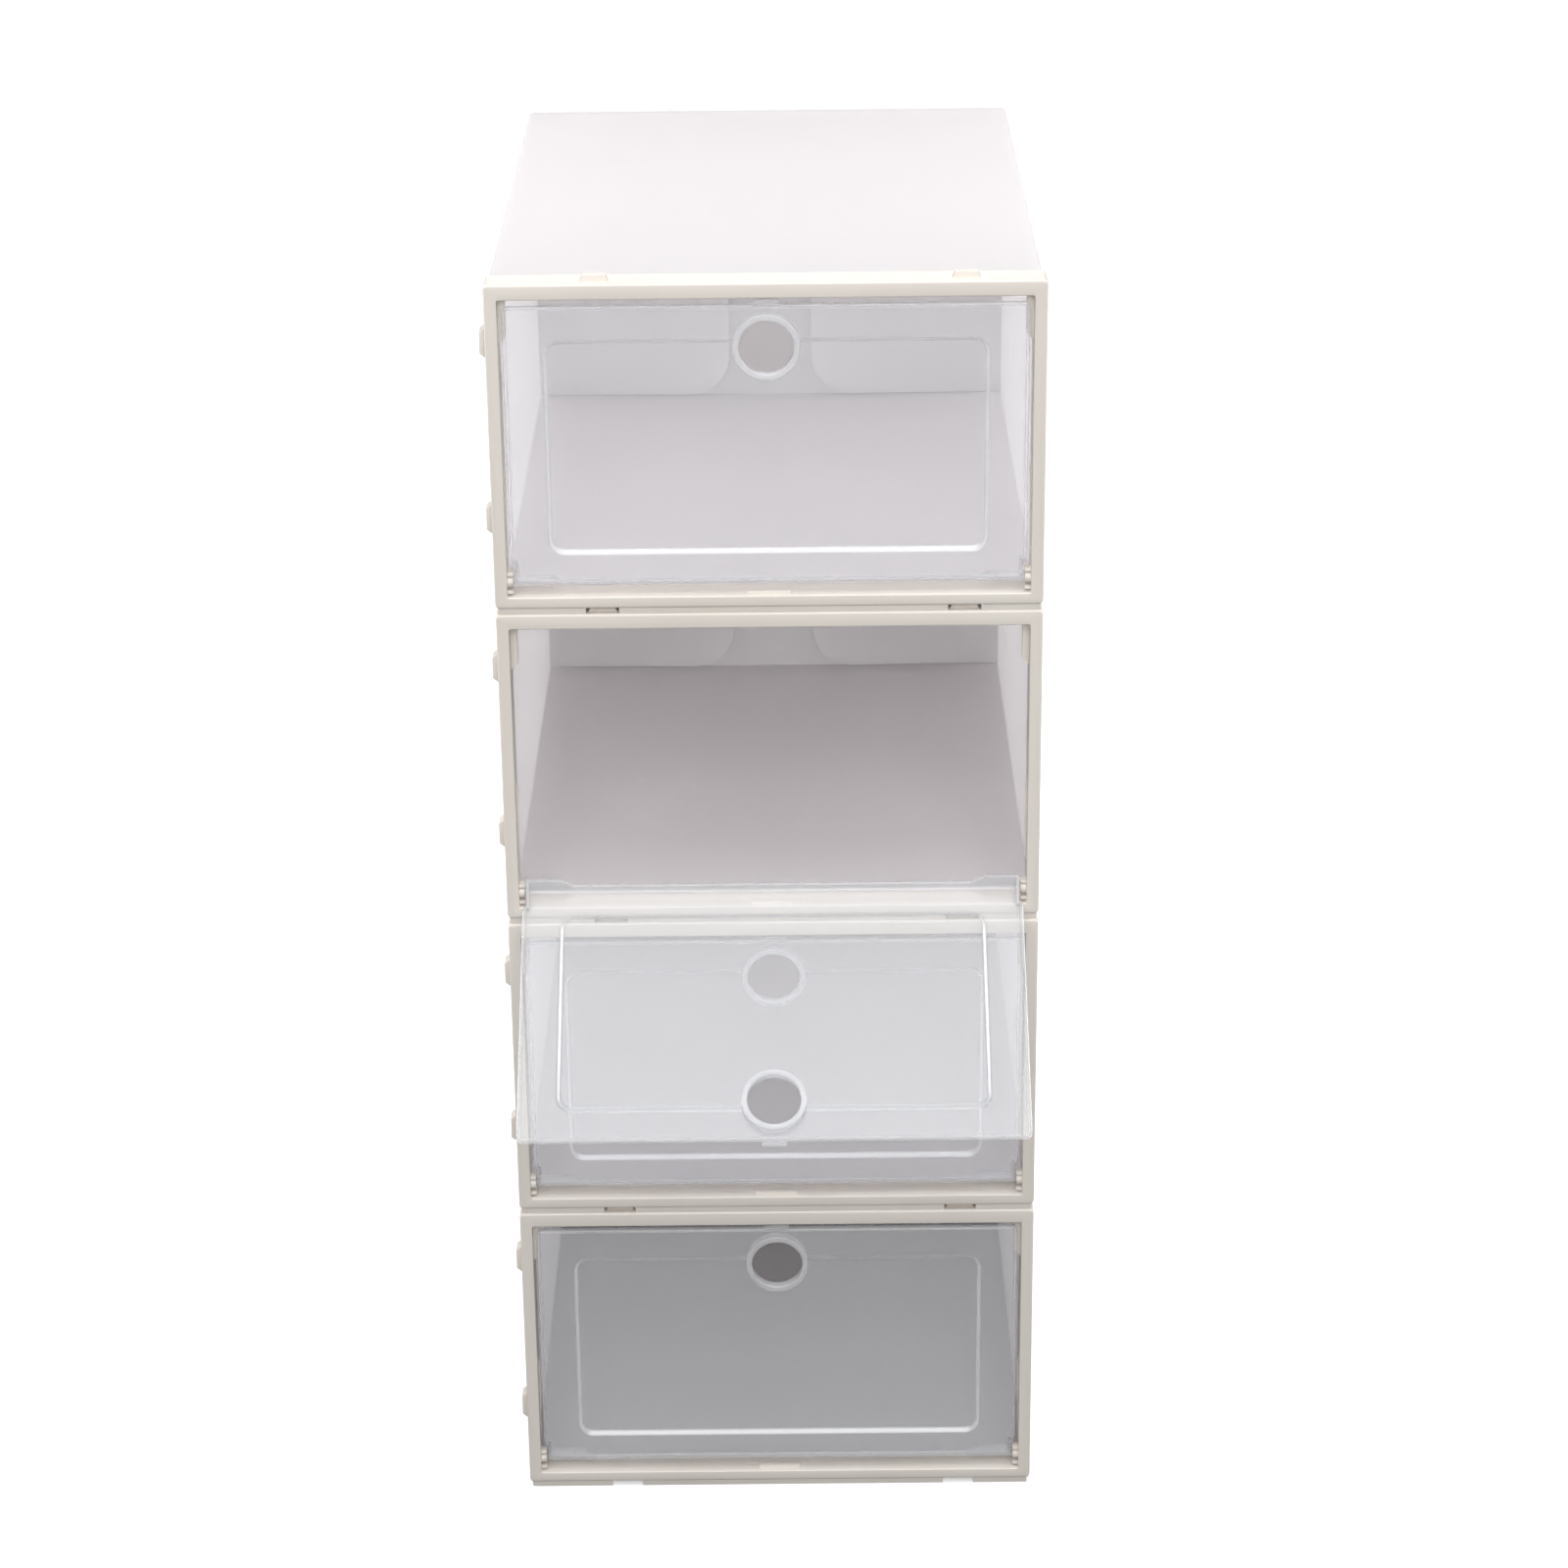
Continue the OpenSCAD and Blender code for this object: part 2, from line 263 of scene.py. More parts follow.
def cut_and_join(base, joined=(), cut=()):
    """The base with the joined solids added and the cut ones taken away, as one clean mesh."""
    for how, others in (("UNION", list(joined)), ("DIFFERENCE", list(cut))):
        if not others:
            continue
        group = bpy.data.collections.new("operands")
        bpy.context.scene.collection.children.link(group)
        for other in others:
            group.objects.link(other)
        step = base.modifiers.new("boolean", "BOOLEAN")
        step.operation = how
        step.operand_type = "COLLECTION"
        step.collection = group
        step.solver = "EXACT"
        seen = base.evaluated_get(bpy.context.evaluated_depsgraph_get())
        mesh = bpy.data.meshes.new_from_object(seen)
        base.modifiers.clear()
        base.data = mesh
        for other in others:
            bpy.data.objects.remove(other)
        bpy.data.collections.remove(group)
    return base


def milky_edges(mesh):
    """Marks how far each face of a door is turned away from its flat faces, and the collar of
    its finger hole: there the plastic is thicker along the line of sight and looks milkier."""
    full_turn, collar_milk = 0.25, 0.6
    mark = mesh.attributes.new("milk", "FLOAT", "FACE")
    for face in mesh.polygons:
        milk = smooth(min(max((1 - abs(face.normal.y)) / full_turn, 0), 1))
        off = math.hypot(face.center.x, face.center.z - hole_z * MM) / MM
        if hole_r < off < hole_r + collar_w:
            milk = max(milk, collar_milk)
        mark.data[face.index].value = milk
    return mesh


def finished(made, smooth_under=32):
    """Takes the mesh off a loose object, in metres and with smooth curves and crisp edges."""
    mesh, merge = made.data, 1e-4
    bpy.data.objects.remove(made)
    bm = bmesh.new()
    bm.from_mesh(mesh)
    bmesh.ops.remove_doubles(bm, verts=bm.verts, dist=merge)
    bmesh.ops.dissolve_degenerate(bm, edges=bm.edges, dist=merge)
    bm.to_mesh(mesh)
    bm.free()
    mesh.transform(Matrix.Scale(MM, 4))
    mesh.shade_smooth()
    mesh.set_sharp_from_angle(angle=math.radians(smooth_under))
    mesh.materials.clear()
    return mesh


# -------------------------------------------------------------------------------- front frame


def channel():
    """The frame's outer wall, front and mouth wall: one U-shaped section run round the mouth."""
    bm = bmesh.new()

    edge, lip, heel, least_r = 1.0, 0.5, 0.3, 0.3

    def outside(inset, y):
        r = max(corner_r - inset, least_r)
        return ring(bm, (inset - half, half - inset), (skirt + inset, pitch - inset), r, y)

    def inside(grow, y):
        r = mouth_r + grow
        return ring(bm, (-mouth_x - grow, mouth_x + grow), (mouth_low - grow, mouth_high + grow),
                    r, y)

    rings = [outside(heel, depth), outside(0, depth - heel)]
    rings += [outside(inset, y) for inset, y in fillet(edge)]
    rings += [inside(inset, y) for inset, y in reversed(fillet(lip))]
    rings += [inside(0, depth - heel), inside(heel, depth), inside(inner_wall - heel, depth),
              inside(inner_wall, depth - heel), inside(inner_wall, front_wall),
              outside(outer_wall, front_wall), outside(outer_wall, depth)]
    loft(bm, rings, closed=True)
    return solid(bm)


def skirt_solid():
    """The recessed skirt that the box stands on, and the ledge that lies on the bottom sheet,
    with room for the tabs of the box below."""
    front, thick, rail_top = 0.7, 1.6, skirt + 0.9
    ledge_x, ledge_y, ledge_top = sheet_x - sheet_t, (1.7, depth - 0.3), skirt + 0.8
    rail = block((-sheet_x, front, 0), (sheet_x, front + thick, rail_top))
    ledge = block((-ledge_x, ledge_y[0], sheet_t), (ledge_x, ledge_y[1], ledge_top))
    cuts = [block((x - notch_half, 0, -1), (x + notch_half, depth + 1, skirt), 0) for x in tabs]
    return cut_and_join(rail, [ledge], cuts)


def stacking_tab(x):
    """A tab with sloped ends on the top bar, rooted 1 mm into it."""
    half_w, slope, rise, front, back = 6.0, 1.2, frame_high.z, 3.8, 7.5
    outline = [(x - half_w, pitch - 1), (x + half_w, pitch - 1), (x + half_w, pitch),
               (x + half_w - slope, rise), (x - half_w + slope, rise), (x - half_w, pitch)]
    return prism(outline, 1, front, back, 0.3)


def side_clip(z):
    """A clip with sloped ends on the left side, rooted 1 mm into it."""
    half_l, slope, out, front, back = 6.5, 1.75, frame_low.x, 4.5, 12
    outline = [(1 - half, z - half_l), (-half, z - half_l), (out, z - half_l + slope),
               (out, z + half_l - slope), (-half, z + half_l), (1 - half, z + half_l)]
    return prism(outline, 1, front, back, 0.4)


def hinge_bracket():
    """A tube for the door's pin between two short ribs, with a long guide rib above."""
    x0, x1, tube_r, boss_r, rib_t = mouth_x - bracket_t, mouth_x + 0.6, 2.6, 3.9, 1.2
    y0, y1 = hinge_y - 2.4, hinge_y + 2.8
    made = [pin(x0, x1, tube_r, hinge_y, hinge_z, 0.3)]
    for z in (hinge_z - 4.9, hinge_z + 2.7):
        made.append(block((x0, y0, z), (x1, y1, z + rib_t)))
    root, low, top, front, back = mouth_x + 0.5, hinge_z + 12, pitch - 78, 7, 8
    guide = [(root, low), (mouth_x - 0.3, low), (mouth_x - 0.8, top - 4), (mouth_x + 0.2, top),
             (root, top)]
    made.append(prism(guide, 1, front, back, 0.1))
    made.append(pin(root, sheet_x - sheet_t - 0.1, boss_r, hinge_y, hinge_z))
    return made


def door_stop():
    """A rib in the upper corner of the mouth, which the closed door rests against."""
    wide, tall, front, back, root = 3.0, 20.0, 5.4, 9.0, 0.5
    outline = [(mouth_x + root, mouth_high - tall), (mouth_x, mouth_high - tall),
               (mouth_x - wide, mouth_high - tall + wide), (mouth_x - wide, mouth_high + root),
               (mouth_x + root, mouth_high + root)]
    return prism(outline, 1, front, back, 0.3)


def channel_ribs():
    """Stiffening ribs across the hollow channel, below, above and beside the mouth."""
    half_t, front, back = 0.6, front_wall - 0.2, depth - 0.4
    made = []
    for x in range(-96, 97, 32):
        made.append(block((x - half_t, front, skirt), (x + half_t, back, mouth_low - 1), 0))
    for x in range(-90, 91, 30):
        made.append(block((x - half_t, front, mouth_high + 1), (x + half_t, back, pitch - 1), 0))
    for z in range(28, 95, 22):
        made += both(block((mouth_x + 1, front, z), (half - 1, back, z + 2 * half_t), 0))
    return made


def frame_mesh():
    """The whole front frame: the channel with everything moulded onto it and cut out of it."""
    joined = [skirt_solid()] + channel_ribs() + both(door_stop())
    joined += [stacking_tab(x) for x in tabs] + [side_clip(z) for z in clips]
    for part in hinge_bracket():
        joined += both(part)
    rest_half, notch_x, pin_fit = 9.3, 11.5, 0.06
    latch = block((-latch_half, latch_y, mouth_high - 0.9),
                  (latch_half, 4.4, mouth_high + 1.2), 0.3)
    rest = block((-rest_half, 2.5, mouth_low - 0.5), (rest_half, 5.5, mouth_low + 1), 0.25)
    notch = block((-notch_x, latch_y, mouth_high - 1), (notch_x, 5.4, mouth_high + 0.8), 0)
    body = cut_and_join(channel(), (), [notch])
    sockets = [block((sheet_x - 0.5, socket_y[0], z - socket_half),
                     (half + 1, socket_y[1], z + socket_half), 0) for z in clips]
    bores = both(pin(mouth_x - bracket_t - 1, mouth_x + 2, pin_r + pin_fit, hinge_y, hinge_z, 0))
    return finished(cut_and_join(body, joined + [latch, rest], sockets + bores))


# --------------------------------------------------------------------------------------- door


def door_dish():
    """The door as one bent sheet: a sunk panel, a rim behind its sides and top, and a lip bent
    back along its foot."""
    bm = bmesh.new()
    edge, bend, rim, rim_t, lip = 0.9, 2.2, 3.0, 1.4, 5.0
    corner, inside_corner, chamfer, hollow_r = 2.5, 1.2, 0.3, 0.5
    panel_x, panel_z, panel_corner = door_x - 15.8, (11.5, door_rise - 13.8), 7

    def outline(inset, y, foot_inset, foot_y, r):
        x, z = door_x - inset, (door_foot + foot_inset, door_rise - inset)
        return ring(bm, (-x, x), z, r, door_y + y, door_y + foot_y)

    def panel(inset, y):
        x, z = panel_x - inset, (panel_z[0] + inset, panel_z[1] - inset)
        return ring(bm, (-x, x), z, panel_corner - inset, door_y + y)

    slope, sink, steps = 2.6, 1.5, 8
    sunk = [(slope * k / steps, sink * smooth(k / steps)) for k in range(steps + 1)]
    flat = 0.4  # a narrow flat beside each curve keeps the shading of the flat faces even
    sunk = [(-flat, 0)] + sunk + [(slope + flat, sink)]
    rings = [panel(inset, y) for inset, y in reversed(sunk)]
    rings.append(outline(edge + flat, 0, bend + flat, 0, 2.2))
    for i in range(6):
        a = math.radians(18 * i)
        out, back = 1 - math.sin(a), 1 - math.cos(a)
        rings.append(outline(edge * out, edge * back, bend * out, bend * back, corner))
    rings += [outline(0, rim - chamfer, 0, lip - chamfer, corner),
              outline(chamfer, rim, chamfer, lip, 2.2),
              outline(rim_t - chamfer, rim, door_t - chamfer, lip, 1.4),
              outline(rim_t, rim - chamfer, door_t, lip - chamfer, inside_corner)]
    inner = bend - door_t
    for i in range(5):
        a = math.radians(22.5 * i)
        out, back = 1 - math.cos(a), 1 - math.sin(a)
        rings.append(outline(rim_t + hollow_r * out, door_t + hollow_r * back,
                             door_t + inner * out, door_t + inner * back, inside_corner))
    rings.append(outline(rim_t + hollow_r + flat, door_t, door_t + inner + flat, door_t,
                         inside_corner))
    rings += [panel(inset, y + door_t) for inset, y in sunk]
    loft(bm, rings, capped=True)
    return solid(bm)


def door_mesh():
    """A whole door: the dish with its ears, cheeks, pins, catch and collared finger hole."""
    ear_y, foot, bend, cheek_t = door_y + 10, door_foot, 2.2, 1.45
    ear = prism([(cheek_x, door_y + bend), (cheek_x, ear_y), (cheek_x - 15, ear_y),
                 (cheek_x - 20, door_y + 5), (cheek_x - 20, door_y + bend)],
                2, foot, foot + door_t)
    cheek = prism([(door_y + bend, foot), (ear_y, foot), (ear_y, foot + 2), (door_y + 3, 8.8),
                   (door_y + 0.3, 8.8), (door_y + 0.3, foot + bend)],
                  0, cheek_x - cheek_t, cheek_x, 0)
    reach = 10  # past the door on every side of the relief that clears the bracket
    relief = prism([(cheek_x, -reach), (door_x + 1, -reach), (door_x + 1, reach),
                    (door_x, reach), (cheek_x, 6.2)], 1, -reach, reach, 0)
    catch = block((-latch_half, door_y, door_rise - 1),
                  (latch_half, door_y + door_t, door_rise + 2), 0.3)
    front, back, outer, round_r = door_y - 0.4, door_y + 4.6, hole_r + collar_w, 0.6
    disc, hole = [(0.01, front)], [(hole_r + 1.5, front - 3)]
    for i in range(4):
        a = math.radians(30 * i)
        disc.append((outer - round_r * (1 - math.sin(a)), front + round_r * (1 - math.cos(a))))
        hole.append((hole_r + round_r * (1 - math.sin(a)), front + round_r * (1 - math.cos(a))))
    disc += [(r, front + back - y) for r, y in reversed(disc)]
    hole += [(r, front + back - y) for r, y in reversed(hole)]
    joined = [lathe(disc, "Y", (0, 0, hole_z)), catch] + both(ear) + both(cheek)
    joined += both(pin(cheek_x - 1, cheek_x + 4.6, pin_r, 0, 0))
    cut = [lathe(hole, "Y", (0, 0, hole_z))] + both(relief)
    return milky_edges(finished(cut_and_join(door_dish(), joined, cut), 28))


# --------------------------------------------------------------------------------- body sheet


def sleeve_mesh():
    """The four walls as one creased sheet: round creases, walls that bow out a little, a roof
    that sags a little."""
    bm = bmesh.new()
    y0, y1, crease, bow, sag, steps = wall_low.y, wall_high.y, 1.6, 0.5, 0.7, 16
    stations = [y0 + (y1 - y0) * i / steps for i in range(steps + 1)]

    def section(inset, y):
        return ring(bm, (inset - sheet_x, sheet_x - inset), (inset, sheet_top - inset),
                    crease - inset, y, splits=12)

    rings = [section(0, y) for y in stations] + [section(sheet_t, y) for y in reversed(stations)]
    for around in (rings[steps], rings[steps + 1]):
        for v in around:
            if v.co.z > sheet_top - 1.0:
                v.co.y = roof_high.y
    loft(bm, rings, closed=True)
    for v in bm.verts:
        x, y, z = v.co
        along = math.sin(math.pi * min(max((y - y0) / (y1 - y0), 0), 1))
        if abs(x) > sheet_x - 1:
            v.co.x += math.copysign(bow * along * math.sin(math.pi * z / sheet_top), x)
        if z > sheet_top - 1:
            v.co.z -= sag * along * math.cos(math.pi * x / 2 / sheet_x)
    sheet = solid(bm)
    notches = [block((x - notch_half, 0, -1), (x + notch_half, depth + 0.5, 2), 0) for x in tabs]
    sockets = [block((sheet_x - 3, 0, z - socket_half),
                     (sheet_x + 3, socket_y[1], z + socket_half), 0) for z in clips]
    return finished(cut_and_join(sheet, (), notches + sockets + [curved_slit()]), 40)


def curved_slit():
    """A short curved slit punched through the right wall."""
    y, z, start, stop, inner, outer, reach = 246, 18.6, 22, 90, 25.4, 26.6, 4
    turns = [math.radians(start + (stop - start) * i / 12) for i in range(13)]
    edge = [(y - inner * math.cos(t), z + inner * math.sin(t)) for t in turns]
    edge += [(y - outer * math.cos(t), z + outer * math.sin(t)) for t in reversed(turns)]
    return prism(edge, 0, sheet_x - reach, sheet_x + reach, 0)


def flap_mesh(side):
    """A side flap with two round corners, whose free edge springs in a little; side is 1 on the
    right and -1 on the left."""
    r, inner, spring, strips = 20, flap_low.x, 3.0, 10
    outline = [(flap_high.x, flap_low.z), (flap_high.x, flap_high.z)]
    for cz, start in ((flap_high.z - r, 90), (flap_low.z + r, 180)):
        for i in range(13):
            turn = math.radians(start + 7.5 * i)
            outline.append((inner + r + r * math.cos(turn), cz + r * math.sin(turn)))
    flap = prism(outline, 1, flap_low.y, flap_high.y, 0.15)
    bm = bmesh.new()
    bm.from_mesh(flap.data)
    for cut in range(1, strips):
        across = flap_high.x - cut / strips * (flap_high.x - inner)
        bmesh.ops.bisect_plane(bm, geom=bm.verts[:] + bm.edges[:] + bm.faces[:],
                               plane_co=(across, 0, 0), plane_no=(1, 0, 0))
    for v in bm.verts:
        v.co.y -= spring * ((flap_high.x - v.co.x) / (flap_high.x - inner)) ** 2
    bm.to_mesh(flap.data)
    bm.free()
    if side < 0:
        plain, flap = flap, mirrored(flap)
        bpy.data.objects.remove(plain)
    return finished(flap)


def back_mesh():
    """The outer back panel, with a tuck tab folded in at its top."""
    tuck_x, slope, straight, fold, drop = 96, 8, 3, 14, 2.2 / 14
    top, face = back_high.z, back_high.y
    root = face - 0.1
    panel = block((back_low.x, face - sheet_t, back_low.z), (back_high.x, face, top), 0.25)
    tuck = prism([(-tuck_x, root), (tuck_x, root), (tuck_x, face - straight),
                  (tuck_x - slope, face - fold), (slope - tuck_x, face - fold),
                  (-tuck_x, face - straight)], 2, top - sheet_t, top, 0.2)
    for v in tuck.data.vertices:
        v.co.z -= (face - v.co.y) * drop
    return finished(cut_and_join(panel, [tuck]))


# ---------------------------------------------------------------------------------- materials

PLASTIC_IOR = 1.49


def node(tree, kind, **settings):
    """A new node in a tree, with the given settings."""
    made = tree.nodes.new(kind)
    for key, value in settings.items():
        setattr(made, key, value)
    return made


def fresh(name):
    """An empty node material and its output."""
    made = bpy.data.materials.new(name)
    made.use_nodes = True
    made.node_tree.nodes.clear()
    return made, made.node_tree, made.node_tree.nodes.new("ShaderNodeOutputMaterial")


def field(tree, scale, detail=2.0, stretch=(1, 1, 1)):
    """Noise in the piece's own coordinates, whose scale is in features per metre."""
    place = node(tree, "ShaderNodeTexCoord")
    grow = node(tree, "ShaderNodeMapping")
    grow.inputs["Scale"].default_value = stretch
    made = node(tree, "ShaderNodeTexNoise")
    made.inputs["Scale"].default_value = scale
    made.inputs["Detail"].default_value = detail
    tree.links.new(place.outputs["Object"], grow.inputs["Vector"])
    tree.links.new(grow.outputs["Vector"], made.inputs["Vector"])
    return made.outputs["Fac"]


def spread(tree, value, low, high):
    """Maps noise, which stays near a half, onto low to high."""
    made = node(tree, "ShaderNodeMapRange")
    made.inputs["From Min"].default_value = 0.3
    made.inputs["From Max"].default_value = 0.7
    made.inputs["To Min"].default_value = low
    made.inputs["To Max"].default_value = high
    tree.links.new(value, made.inputs["Value"])
    return made.outputs["Result"]


def tinted(tree, value, one, other):
    """A colour between two, by a value from 0 to 1."""
    made = node(tree, "ShaderNodeMix", data_type="RGBA")
    made.inputs[6].default_value = (*one, 1)
    made.inputs[7].default_value = (*other, 1)
    tree.links.new(value, made.inputs["Factor"])
    return made.outputs[2]


def bumps(tree, value, height, distance):
    """A normal bumped by a value; distance is in metres."""
    made = node(tree, "ShaderNodeBump")
    made.inputs["Strength"].default_value = height
    made.inputs["Distance"].default_value = distance
    tree.links.new(value, made.inputs["Height"])
    return made.outputs["Normal"]


def cream_plastic():
    """Cream polypropylene: satin, a little uneven in tone, with faint moulding texture."""
    made, tree, out = fresh("cream_plastic")
    dark, light = (0.72, 0.67, 0.615), (0.75, 0.705, 0.65)
    skin = node(tree, "ShaderNodeBsdfPrincipled")
    tone = spread(tree, field(tree, 14, 3, (1, 1, 0.4)), 0, 1)
    tree.links.new(tinted(tree, tone, dark, light), skin.inputs["Base Color"])
    tree.links.new(spread(tree, field(tree, 160, 3), 0.34, 0.46), skin.inputs["Roughness"])
    tree.links.new(bumps(tree, field(tree, 1500, 2), 0.12, 0.0002), skin.inputs["Normal"])
    skin.inputs["IOR"].default_value = PLASTIC_IOR
    tree.links.new(skin.outputs[0], out.inputs["Surface"])
    return made


def mix(tree, factor, one, other):
    """Two shaders mixed by a number or by a socket."""
    made = node(tree, "ShaderNodeMixShader")
    if isinstance(factor, float):
        made.inputs[0].default_value = factor
    else:
        tree.links.new(factor, made.inputs[0])
    tree.links.new(one, made.inputs[1])
    tree.links.new(other, made.inputs[2])
    return made.outputs[0]


def clear_plastic():
    """Clear polypropylene: a faint milky haze that is stronger on turned and thick faces, and
    gloss that grows towards grazing views."""
    made, tree, out = fresh("clear_plastic")
    haze_low, haze_high, edge_haze, haze_through = 0.085, 0.105, 0.36, 0.2
    gloss_facing, gloss_gain, gloss_power = 0.045, 0.8, 4.0
    tint = (0.93, 0.94, 0.96, 1)
    clear = node(tree, "ShaderNodeBsdfTransparent")
    clear.inputs["Color"].default_value = (0.975, 0.98, 0.99, 1)
    milk = node(tree, "ShaderNodeBsdfPrincipled")
    milk.inputs["Base Color"].default_value = tint
    milk.inputs["Roughness"].default_value = 0.25
    milk.inputs["IOR"].default_value = PLASTIC_IOR
    through = node(tree, "ShaderNodeBsdfTranslucent")
    through.inputs["Color"].default_value = tint
    haze = mix(tree, haze_through, milk.outputs[0], through.outputs[0])
    mark = node(tree, "ShaderNodeAttribute", attribute_name="milk")
    share = node(tree, "ShaderNodeMath", operation="MULTIPLY_ADD")
    share.inputs[1].default_value = edge_haze
    tree.links.new(mark.outputs["Fac"], share.inputs[0])
    tree.links.new(spread(tree, field(tree, 9, 4), haze_low, haze_high), share.inputs[2])
    body = mix(tree, share.outputs[0], clear.outputs[0], haze)
    gloss = node(tree, "ShaderNodeBsdfAnisotropic")
    gloss.inputs["Roughness"].default_value = 0.26
    facing = node(tree, "ShaderNodeLayerWeight")
    facing.inputs["Blend"].default_value = 0.5
    power = node(tree, "ShaderNodeMath", operation="POWER")
    power.inputs[1].default_value = gloss_power
    tree.links.new(facing.outputs["Facing"], power.inputs[0])
    rise = node(tree, "ShaderNodeMath", operation="MULTIPLY_ADD")
    rise.inputs[1].default_value = gloss_gain
    rise.inputs[2].default_value = gloss_facing
    tree.links.new(power.outputs[0], rise.inputs[0])
    tree.links.new(mix(tree, rise.outputs[0], body, gloss.outputs[0]), out.inputs["Surface"])
    return made


def white_sheet(name, translucent):
    """Translucent white polypropylene sheet: matt, with the faint drawn grain of rolled sheet.
    Translucent is the share of light that the skin scatters onwards."""
    made, tree, out = fresh(name)
    skin = node(tree, "ShaderNodeBsdfPrincipled")
    grain = field(tree, 240, 3, (1, 0.06, 1))
    cloud = spread(tree, field(tree, 11, 3), 0, 1)
    dark, light = (0.955, 0.95, 0.945), (0.97, 0.965, 0.96)
    tree.links.new(tinted(tree, cloud, dark, light), skin.inputs["Base Color"])
    tree.links.new(spread(tree, grain, 0.42, 0.55), skin.inputs["Roughness"])
    tree.links.new(bumps(tree, grain, 0.1, 0.0002), skin.inputs["Normal"])
    skin.inputs["IOR"].default_value = PLASTIC_IOR
    through = node(tree, "ShaderNodeBsdfTranslucent")
    through.inputs["Color"].default_value = (0.98, 0.96, 0.97, 1)
    tree.links.new(mix(tree, translucent, skin.outputs[0], through.outputs[0]),
                   out.inputs["Surface"])
    return made


# ------------------------------------------------------------------------------ putting it up


def put(mesh, name, box, body, nodes, material, turned=0.0):
    """Places a copy of a mesh in a box, riding on a body and standing for its CAD nodes. A door
    turns about its hinge line."""
    piece = bpy.data.objects.new(name, mesh.copy())
    piece.data.name = name
    bpy.context.scene.collection.objects.link(piece)
    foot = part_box(f"box{box}_bottom_sheet")[0].z
    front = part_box("box4_front_frame")[0].y
    place = Matrix.Translation((0, front, foot))
    if "door" in name:
        place = place @ Matrix.Translation((0, hinge_y * MM, hinge_z * MM))
        place = place @ Matrix.Rotation(math.radians(turned), 4, "X")
    piece.data.transform(place)
    piece.data.materials.append(material)
    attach(piece, body)
    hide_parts(*nodes)
    return piece


def boxes():
    """All four boxes: every piece rides on its own body, and each door hangs at its rest angle."""
    single, flap_share_painted_bright = 0.62, 0.42  # translucent shares; the flaps lie on the panel and are the same sheet, but get the smaller share so they reflect more: painted brightness that stands in for light reflected between each flap and the panel behind it
    looks = {"frame_plastic": cream_plastic(), "door_plastic": clear_plastic(),
             "body_sheet": white_sheet("white_sheet", single)}
    # a copy of the sheet with less translucency, for the flaps only: painted brightness for light
    # reflected between flap and panel
    folded = white_sheet("folded_sheet", flap_share_painted_bright)
    shells = {"front_frame": (frame_mesh(), "", "frame_plastic"),
              "door": (door_mesh(), "_door", "door_plastic"),
              "left_back_flap": (flap_mesh(-1), "_left_flap", "body_sheet"),
              "right_back_flap": (flap_mesh(1), "_right_flap", "body_sheet"),
              "back_panel": (back_mesh(), "_back", "body_sheet")}
    sleeve = sleeve_mesh()
    for box in BOXES:
        resting = -JOINTS[f"box{box}_door_hinge"]["range_deg"][0]
        for part, (mesh, body, slot) in shells.items():
            # the flaps take the brighter copy of the sheet, which is painted light
            look = folded if "flap" in part else looks[slot]
            put(mesh, f"box{box}_{part}_look", box, f"box{box}{body}", [f"box{box}_{part}"],
                look, resting if part == "door" else 0.0)
        walls = [f"box{box}_{side}_sheet" for side in ("left", "right", "top", "bottom")]
        put(sleeve, f"box{box}_body_sheet_look", box, f"box{box}", walls,
            looks["body_sheet"])


# ------------------------------------------------------------------------------ light and view


def area(name, size, power, at, aim, spread=180):
    """A rectangular light aimed at a point; size is in metres, power in watts."""
    light = bpy.data.lights.new(name, "AREA")
    light.shape = "RECTANGLE"
    light.size, light.size_y = size
    light.energy = power
    light.spread = math.radians(spread)
    lamp = bpy.data.objects.new(name, light)
    lamp.location = at
    lamp.rotation_mode = "QUATERNION"
    lamp.rotation_quaternion = (Vector(aim) - Vector(at)).to_track_quat("-Z", "Y")
    bpy.context.scene.collection.objects.link(lamp)


def floor():
    """A plain white floor that glows faintly. It shows to the camera and in reflections only, so
    that it doesn't light the sheets from below."""
    made, tree, out = fresh("floor")
    dark, light, half_size, below = (0.9, 0.9, 0.9), (0.91, 0.91, 0.91), 20, 0.0002
    skin = node(tree, "ShaderNodeBsdfPrincipled")
    skin.inputs["Roughness"].default_value = 0.7
    skin.inputs["Emission Color"].default_value = (1, 1, 1, 1)
    skin.inputs["Emission Strength"].default_value = 0.4
    tone = spread(tree, field(tree, 3, 2), 0, 1)
    tree.links.new(tinted(tree, tone, dark, light), skin.inputs["Base Color"])
    tree.links.new(skin.outputs[0], out.inputs["Surface"])
    bm = bmesh.new()
    bmesh.ops.create_grid(bm, x_segments=4, y_segments=4, size=half_size)
    mesh = bpy.data.meshes.new("floor")
    bm.to_mesh(mesh)
    bm.free()
    mesh.materials.append(made)
    plane = bpy.data.objects.new("floor", mesh)
    plane.location.z = cad_low.z - below
    plane.visible_diffuse = plane.visible_transmission = False
    bpy.context.scene.collection.objects.link(plane)


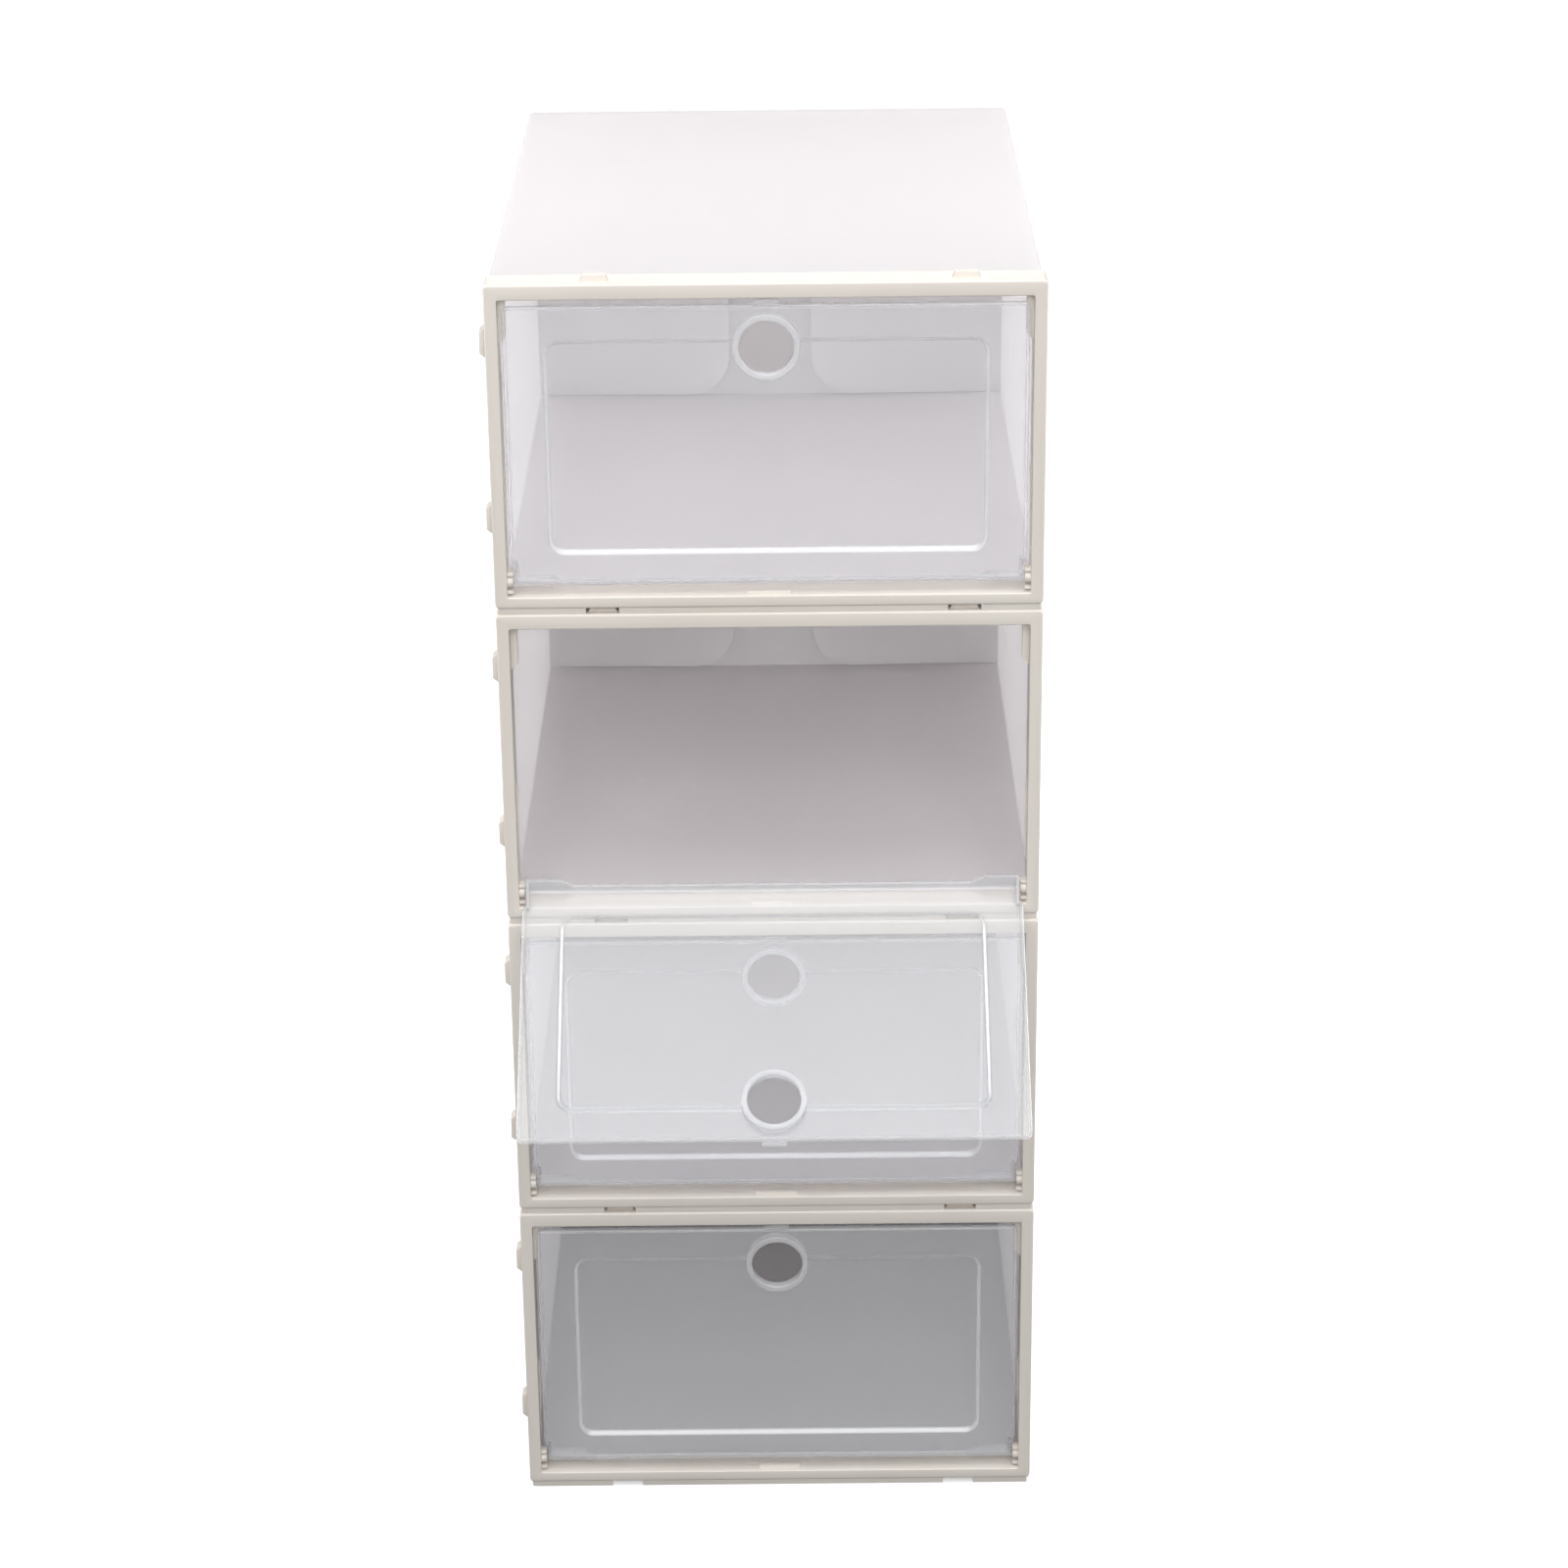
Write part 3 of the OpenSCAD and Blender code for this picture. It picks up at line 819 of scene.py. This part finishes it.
def sky():
    """A sky that lights from overhead only, and looks pale to the camera past the floor."""
    strength, tones = 1.6, ((0, 0.025), (0.55, 0.03), (0.75, 0.04), (1, 1.0))
    world = bpy.data.worlds.new("studio")
    world.use_nodes = True
    tree = world.node_tree
    place = node(tree, "ShaderNodeTexCoord")
    split = node(tree, "ShaderNodeSeparateXYZ")
    rise = node(tree, "ShaderNodeMapRange")
    rise.inputs["From Min"].default_value = -1
    ramp = node(tree, "ShaderNodeValToRGB")
    for at, tone in tones:
        stop = ramp.color_ramp.elements[0] if at == 0 else ramp.color_ramp.elements.new(at)
        stop.position, stop.color = at, (tone, tone, tone, 1)
    tree.links.new(place.outputs["Generated"], split.inputs[0])
    tree.links.new(split.outputs["Z"], rise.inputs["Value"])
    tree.links.new(rise.outputs["Result"], ramp.inputs["Fac"])
    glow = tree.nodes["Background"]
    glow.inputs["Strength"].default_value = strength
    tree.links.new(ramp.outputs["Color"], glow.inputs["Color"])
    pale = node(tree, "ShaderNodeBackground")
    pale.inputs["Color"].default_value = (1, 1, 1, 1)
    path = node(tree, "ShaderNodeLightPath")
    seen = mix(tree, path.outputs["Is Camera Ray"], glow.outputs[0], pale.outputs[0])
    tree.links.new(seen, tree.nodes["World Output"].inputs["Surface"])
    bpy.context.scene.world = world


def studio():
    """Soft lights in front of and above the boxes, weaker ones behind and at the sides that shine
    through the sheets, and the sky."""
    middle = (0, 0, (cad_low.z + cad_high.z) / 2)
    area("overhead", (1.0, 0.8), 5.5, (0, -0.45, 1.7), (0, -0.1, 0.3))
    area("high front", (1.2, 0.8), 4, (0, -1.2, 1.6), (0, 0, 0.35))
    area("front", (1.4, 0.8), 15, (0, -1.9, 1.5), (0, 0, 0.4))
    area("low front", (2.4, 1.0), 23, (0, -3.0, 1.15), middle)
    area("back", (1.0, 0.6), 4.0, (0, 1.5, 0.9), (0, 0.2, 0.4))
    for side in (-1, 1):
        area("side", (0.24, 0.4), 0.95, (0.8 * side, 0.03, 0.5), (0, 0.03, 0.42), 80)
    sky()
    bpy.context.scene.view_settings.view_transform = "Standard"


def camera():
    """A long lens at eye height, looking down on the doors, with a slight roll."""
    data = bpy.data.cameras.new("camera")
    data.sensor_width = 36
    data.lens = 91.62
    data.clip_end = 100
    made = bpy.data.objects.new("camera", data)
    place, angles = (0.0099, -1.7272, 1.0070), (22.682, 0.165, 0.617)
    down, turn, roll = (math.radians(angle) for angle in angles)
    ahead = Vector((-math.sin(turn) * math.cos(down), math.cos(turn) * math.cos(down),
                    -math.sin(down)))
    level = Vector((math.cos(turn), math.sin(turn), 0))
    above = level.cross(ahead)
    right = math.cos(roll) * level - math.sin(roll) * above
    up = math.sin(roll) * level + math.cos(roll) * above
    made.matrix_world = Matrix.LocRotScale(place, Matrix((right, up, -ahead)).transposed(), None)
    bpy.context.scene.collection.objects.link(made)
    bpy.context.scene.camera = made


camera()
boxes()
floor()
studio()
